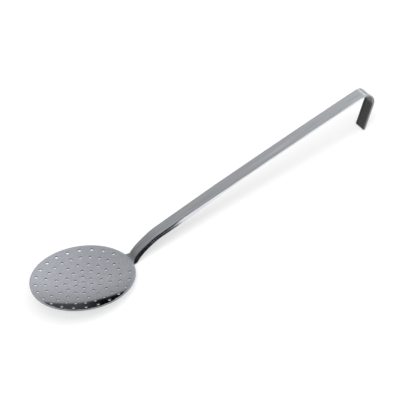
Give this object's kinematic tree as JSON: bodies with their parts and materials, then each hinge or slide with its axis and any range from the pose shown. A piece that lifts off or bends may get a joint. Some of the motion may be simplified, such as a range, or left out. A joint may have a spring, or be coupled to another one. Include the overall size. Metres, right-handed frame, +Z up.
{
  "type": "perforated skimmer",
  "caption": "Kitchen skimmer: shallow round perforated dish on a long pressed strap handle whose end is bent down into a hanging hook.",
  "frame": {"origin": "on the table, under the middle of the skimmer's box, as it lies at rest on the handle's tongue under the dish and on the hook's tip", "axes": "+X from the dish towards the hook, +Z up from the table"},
  "size_m": [0.4548, 0.1206, 0.0458],
  "materials": {
    "satin_dish_steel": "satin",
    "brushed_strap_steel": "brushed lengthwise",
    "ground_weld_steel": "ground"
  },
  "bodies": {
    "root": {"perforated_dish": "satin_dish_steel", "handle_strap": "brushed_strap_steel", "ear_seam_weld": "ground_weld_steel", "plug_weld_inner": "ground_weld_steel", "plug_weld_outer": "ground_weld_steel"}
  },
  "joints": []
}
